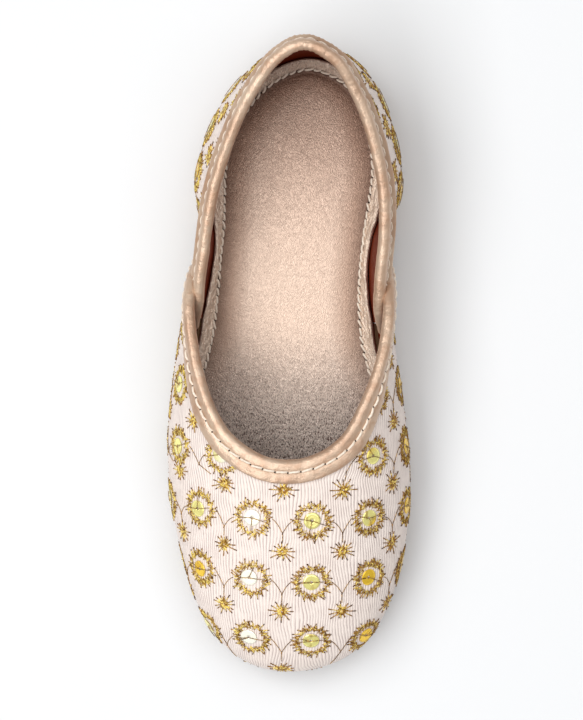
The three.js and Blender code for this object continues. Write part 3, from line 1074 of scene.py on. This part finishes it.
def on_level(height):
    """Gives what finds a column's place on the quarter's cut at a height in mm."""
    halves = quarter_cut(height * MM)

    def found(column):
        points, lengths = halves[-1 if column < 0 else 1]
        walk = abs(column) * QUARTER_REPEAT * MM
        if walk > lengths[-1] or len(points) < 4:
            return None
        return at_length(points, lengths, walk)

    return found


quarter_cloth = QuarterCloth("quarter", quarter_tree, Vector((0, 0, 1)))
for number, height in enumerate(QUARTER_ROWS):
    stars_at = [on_level(height - STAR_DROP), on_level(height + REPEAT - STAR_DROP)] if number else []
    quarter_cloth.row(range(-7, 8), on_level(height), range(-8, 8), stars_at, on_level(height - KNOT_DROP))

# %% Embroidery as pieces
TIP_RADIUS = 0.14 * MM
VINE_RADIUS = 0.1 * MM
for cloth, thick in ((vamp_cloth, 0.125 * MM), (quarter_cloth, 0.175 * MM)):
    print(cloth.name, "threads", len(cloth.gold), len(cloth.dark), "sequins", len(cloth.sequins))
    thread_piece(cloth.name + "_embroidery", cloth.gold, thick, GOLD)
    thread_piece(cloth.name + "_embroidery_tips", cloth.dark, TIP_RADIUS, DARK_GOLD)
    thread_piece(cloth.name + "_vines", cloth.vines, VINE_RADIUS, VINE_GOLD)
    sequin_piece(cloth.name + "_sequins", cloth.sequins)

# %% [markdown]
# ## Bindings
# The bindings are strips of satin leather, rolled over the cut edge into a bead and stitched down just
# below it, where the thread pulls a groove into the leather. The copies are rounded, pressed together with
# their shells, padded below the seam and narrowed at their ends. The seam is found from the top of the
# bead: a row of edges leads round the strip, and rows that cross this ring lead along it, beside the seam.


# %% Seam of a binding
BESIDE_SEAM = (5, 6)  # the ring's points on either side of the seam, counted from its inner corner


def straight_on(vertex, edge):
    """Follows a row of edges through four-sided faces until it ends or comes round."""
    line = [vertex]
    while True:
        vertex = edge.other_vert(vertex)
        if vertex is line[0]:
            return line, True
        line.append(vertex)
        if len(vertex.link_edges) != 4:
            return line, False
        beside = set(edge.link_faces)
        edge = next(e for e in vertex.link_edges if not beside & set(e.link_faces))


def seam_of(node):
    """The line below a binding's bead on its outer side, from one end to the other."""
    bm = copy_of(node)
    top = max(bm.verts, key=lambda v: v.co.z)
    walks = [straight_on(top, edge) for edge in top.link_edges]
    around = next(line for line, closed in walks if closed)
    count = len(around)
    gaps = [(around[k].co - around[(k + 1) % count].co).length for k in range(count)]
    under = gaps.index(max(gaps))  # the bead's flat underside, inside the shoe
    step = 1 if gaps[(under + 1) % count] > gaps[under - 1] else -1
    corner = under + 1 if step == 1 else under
    lines = []
    for past in BESIDE_SEAM:
        point = around[(corner + step * past) % count]
        ahead = [edge for edge in point.link_edges if edge.other_vert(point) not in around]
        ahead.sort(key=lambda edge: edge.other_vert(point).co.x)
        one, other = (straight_on(point, edge)[0] for edge in ahead)
        lines.append([v.co.copy() for v in one[::-1] + other[1:]])
    bm.free()
    return [a.lerp(b, 0.5) for a, b in zip(*lines)]


def along_line(points, pitch):
    """Places a pitch apart along a line of points, each with the direction there."""
    walked_to, found, target = 0.0, [], pitch / 2
    for before, after in zip(points, points[1:]):
        span = (after - before).length
        while span > 0 and walked_to + span >= target:
            t = (target - walked_to) / span
            found.append((before.lerp(after, t), (after - before).normalized()))
            target += pitch
        walked_to += span
    return found


vamp_seam = [pressed(point, *VAMP_WINGS) for point in seam_of("vamp_binding")]
quarter_seam = [pressed(point, *QUARTER_FRONT) for point in seam_of("quarter_binding")]
print("seams of", len(vamp_seam), "and", len(quarter_seam), "points")

# %% Bindings
STITCH_PITCH = 3.4 * MM
STITCH_LENGTH = 2.75 * MM
SEAM_STEP = STITCH_PITCH / 8  # from one searched place of the seam to the next
GROOVE_WIDTH = 0.55 * MM
GROOVE_DEPTH = 0.3 * MM
WRINKLE = 0.1 * MM
WRINKLE_SIZES = (3.2 * MM, 1.3 * MM)
GATHER = 0.1 * MM  # small pleats at the heel's peak
GATHER_PITCH = 1.3 * MM
PEAK = (74 * MM, 82 * MM)  # they begin and are full at these places


def binding_piece(node, seam, padding, ends, narrowing):
    """A binding's copy with the groove that the stitches pull, a padded edge and narrow ends."""
    piece = piece_of(copy_of(node), node + "_leather", [LEATHER], 3, node)
    press(piece, ends)
    share, taper, end_shift = narrowing
    places = [place for place, _ in along_line(seam, SEAM_STEP)]
    tree = finder(places)
    moved = []
    for vertex in piece.data.vertices:
        at = vertex.co
        _, k, distance = tree.find(at)
        walk = k * SEAM_STEP
        pulled = 0.8 + 0.2 * math.cos(TAU * walk / STITCH_PITCH)
        depth = GROOVE_DEPTH * pulled * math.exp(-((distance / GROOVE_WIDTH) ** 2))
        coarse, fine = (noise.noise(at / size) for size in WRINKLE_SIZES)
        ripple = WRINKLE * (coarse + 0.6 * fine)
        ripple += rise(at.y, *PEAK) * GATHER * math.sin(TAU * walk / GATHER_PITCH)
        out = Vector((at.x - AXIS_X, 0.5 * (at.y - QUARTER_CORE.y), 0)).normalized()
        below = rise(places[k].z - at.z, 0.1 * MM, 0.5 * MM) * rise(vertex.normal.dot(out), 0, 0.5)
        full = rise(distance, 0.3 * MM, 1.4 * MM) * (1 - 0.4 * rise(distance, 2.2 * MM, 3.4 * MM))
        place = at + vertex.normal * (ripple - depth) + out * padding * below * full
        from_end = min(k, len(places) - 1 - k) * SEAM_STEP
        target = places[k] + out * end_shift
        moved.append(place.lerp(target, share * (1 - rise(from_end, 0, taper))))
    for vertex, place in zip(piece.data.vertices, moved):
        vertex.co = place
    return piece


# The share that a binding's ends shrink by, over what length, and how far out they go
VAMP_END = (0.7, 24 * MM, -0.5 * MM)
QUARTER_END = (0.4, 11 * MM, 0.0)
vamp_binding = binding_piece("vamp_binding", vamp_seam, 0.15 * MM, VAMP_WINGS, VAMP_END)
quarter_binding = binding_piece("quarter_binding", quarter_seam, 1.0 * MM, QUARTER_FRONT, QUARTER_END)


# %% Stitches
# A stitch's arch: shares of its length, and mm above the leather
ARCH = ((-0.5, -0.14), (-0.4, 0.16), (-0.15, 0.3), (0.15, 0.3), (0.4, 0.16), (0.5, -0.14))
NEEDLE_RADIUS = 0.3 * MM


def stitch_row(name, piece, line, slot, pitch, length, radius, slant, uneven=0.0):
    """Stitches along a line on a piece, with a needle hole at each gap."""
    tree = tree_of(piece)
    stitches, holes = [], []
    for place, along in along_line(line, pitch):
        hit, normal, _, _ = tree.find_nearest(place)
        side = normal.cross(along).normalized()
        sway = 1 + chance.uniform(-uneven, uneven) * 3
        way = (along + side * slant * sway).normalized()
        reach = length * (1 + chance.uniform(-uneven, uneven))
        run = []
        for share, lift in ARCH:
            near, face, _, _ = tree.find_nearest(hit + way * reach * share)
            run.append(near + face * lift * MM)
        stitches.append(run)
        holes.append(tree.find_nearest(place + along * pitch / 2)[:2])
    thread_piece(name, stitches, radius, CREAM, sides=1)
    hole_piece(name + "_holes", holes)


def hole_piece(name, holes):
    """Small dimples where the needle went in, painted dark for the shade inside the holes."""
    bm = bmesh.new()
    flat = Matrix.Diagonal((1, 1, 0.4, 1))
    for place, normal in holes:
        there = standing(place, normal) @ flat
        bmesh.ops.create_uvsphere(bm, u_segments=8, v_segments=5, radius=NEEDLE_RADIUS, matrix=there)
    return piece_of(bm, name, [HOLE])


STITCHED = {
    "vamp_binding": (vamp_binding, vamp_seam, 0.33 * MM),
    "quarter_binding": (quarter_binding, quarter_seam, 0.17 * MM),
}
for name, (piece, line, thick) in STITCHED.items():
    sizes = {"pitch": STITCH_PITCH, "length": STITCH_LENGTH, "radius": thick, "slant": 0.1}
    stitch_row(name + "_stitches", piece, line, "binding_leather", **sizes)

# %% [markdown]
# ## Insole
# The insole is a thin padded footbed with a raised rim. Its leather is a metallic rose-bronze with a
# fine pebbled grain. Its colour holds painted light: painted shade along the seam and at the heel, a
# painted highlight on the rim, and under the vamp lighter leather whose grain is partly painted darker, as
# grain looks in grazing light. Slanted cream stitches run in the seam inside the rim, which is pressed out
# towards the walls. A board under thin foam hardly gives, so a subdivision surface rounds it and no cloth
# is simulated.

# %% Insole
insole = piece_of(copy_of("insole"), "insole_footbed", [FOOTBED], 2, "insole")
insole_tree = tree_of(insole)
insole_low, insole_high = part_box("insole")
SPINE_HEEL = insole_high.y - 20 * MM
SPINE_TOE = insole_low.y + 22 * MM
OUTLINE_STEPS = 60  # rays round each end and along each side
OUTLINE_DROP = 0.6 * MM  # the outline is taken this far below the footbed


def down_to_insole(x, y):
    """The insole's upper face at a place seen from above."""
    hit, _, _, _ = insole_tree.ray_cast(Vector((x, y, 60 * MM)), Vector((0, 0, -1)))
    return hit


def insole_outline():
    """The insole's outer edge seen from above: level rays that meet it, round its heel, sides and toe."""
    steps = OUTLINE_STEPS
    length = SPINE_TOE - SPINE_HEEL
    casts = [(SPINE_HEEL, -90 + 180 * k / steps) for k in range(steps + 1)]
    casts += [(SPINE_HEEL + length * k / steps, 90) for k in range(1, steps)]
    casts += [(SPINE_TOE, 90 + 180 * k / steps) for k in range(steps + 1)]
    casts += [(SPINE_TOE - length * k / steps, 270) for k in range(1, steps)]
    line = []
    for y, degrees in casts:
        out = level_spoke(math.radians(degrees))
        origin = Vector((AXIS_X, y, down_to_insole(AXIS_X, y).z - OUTLINE_DROP))
        hit, _, _, _ = insole_tree.ray_cast(origin + out * REACH, -out, REACH)
        if hit is not None:
            line.append(hit)
    return line


outline = insole_outline()
print("insole outline of", len(outline), "points")

WIDEN = 2.2 * MM  # the rim's leather is pressed out towards the walls by up to this
CLEAR = 0.3 * MM  # and stays this far from them


def outward_at(point):
    middle = Vector((AXIS_X, min(max(point.y, SPINE_TOE), SPINE_HEEL), point.z))
    return (point - middle).normalized()


def press_rim_out():
    """Widens the rim where the walls leave room, and not where they are close."""
    walls = [tree_of(vamp), tree_of(quarter)]
    room = [min(wall.find_nearest(point)[3] for wall in walls) - CLEAR for point in outline]
    count = len(outline)
    room = [sum(room[(k + d) % count] for d in range(-3, 4)) / 7 for k in range(count)]
    tree = finder([(point.x, point.y, 0) for point in outline])
    for vertex in insole.data.vertices:
        _, k, distance = tree.find((vertex.co.x, vertex.co.y, 0))
        push = min(max(room[k], 0), WIDEN) * (1 - rise(distance, 1.5 * MM, 5 * MM))
        vertex.co += outward_at(outline[k]) * push


press_rim_out()
insole_tree = tree_of(insole)

SEAM_INSET = 2.1 * MM  # from the solid's edge to the seam round the heel
WAIST_INSET = 1.3 * MM  # and along the waist
WAIST = (50 * MM, 25 * MM)  # it changes between these


def rim_seam():
    """The line of the seam inside the rim, on the insole's upper face, with the way inwards."""
    count = len(outline)
    line = []
    for k, point in enumerate(outline):
        along = (outline[(k + 2) % count] - outline[k - 2]).normalized()
        inward = Vector((along.y, -along.x, 0))
        inward = -inward if inward.dot(outward_at(point)) > 0 else inward
        inset = SEAM_INSET + (WAIST_INSET - SEAM_INSET) * rise(point.y, *WAIST)
        hit = down_to_insole(point.x + inward.x * inset, point.y + inward.y * inset)
        if hit is not None:
            line.append((hit, inward))
    return line


footbed_seam = rim_seam()
seam_points = [hit for hit, _ in footbed_seam]
sizes = {"pitch": 2.3 * MM, "length": 1.9 * MM, "radius": 0.34 * MM, "slant": 0.3, "uneven": 0.2}
stitch_row("insole_stitches", insole, seam_points + seam_points[:1], "footbed", **sizes)


def map_insole():
    """Writes how far inside the seam each corner is, so that the painted shade can darken the leather along
    it.
    """
    layer = insole.data.uv_layers.new(name="lie")
    tree = finder([(hit.x, hit.y, 0) for hit in seam_points])
    inside = []
    for vertex in insole.data.vertices:
        hit, k, _ = tree.find((vertex.co.x, vertex.co.y, 0))
        offset = vertex.co - hit
        inside.append(offset.xy.length * math.copysign(1, offset.dot(footbed_seam[k][1])))
    for corner in insole.data.loops:
        layer.data[corner.index].uv = (inside[corner.vertex_index] / MM, 0)


map_insole()

# %% [markdown]
# ## Outsole
# The picture doesn't show the sole. It is a plain tan rubber unit with a low heel and a fine cross tread
# underneath, as such flats have, with painted shade in the tread's grooves. Inside a ledge its top is
# covered by the lining's turned-in edge, whose dark colour also stands for the shade between the insole and
# the walls. The copy keeps its form; only its sharp edges are marked.

# %% Outsole
LEVEL = 0.9  # a face looks up or down if its normal's Z is past this
SHARP = math.radians(32)
LEDGE = 2.2 * MM
FACE_RUBBER, FACE_TREAD, FACE_LINING_AND_SHADE = 0, 1, 2

outsole_bm = copy_of("outsole")
for face in outsole_bm.faces:
    face.material_index = FACE_TREAD if face.normal.z < -LEVEL else FACE_RUBBER
# painted shade: the top inside the ledge takes the dark rust lining, which also stands for the shade in the
# gap between the insole and the walls
lining_and_shade_faces = [face for face in outsole_bm.faces if face.normal.z > LEVEL]
bmesh.ops.inset_region(outsole_bm, faces=lining_and_shade_faces, thickness=LEDGE, use_even_offset=True)
for face in lining_and_shade_faces:
    face.material_index = FACE_LINING_AND_SHADE
outsole = piece_of(outsole_bm, "outsole_rubber", [RUBBER, TREAD, LINING], 0, "outsole")
outsole.data.set_sharp_from_angle(angle=SHARP)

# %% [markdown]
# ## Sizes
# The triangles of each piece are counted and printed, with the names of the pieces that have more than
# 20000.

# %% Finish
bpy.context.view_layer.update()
triangles = {}
for piece in bpy.data.objects:
    if piece.type == "MESH":
        triangles[piece.name] = sum(len(face.vertices) - 2 for face in piece.data.polygons)
print("triangles:", sum(triangles.values()), {name: n for name, n in triangles.items() if n > 20000})
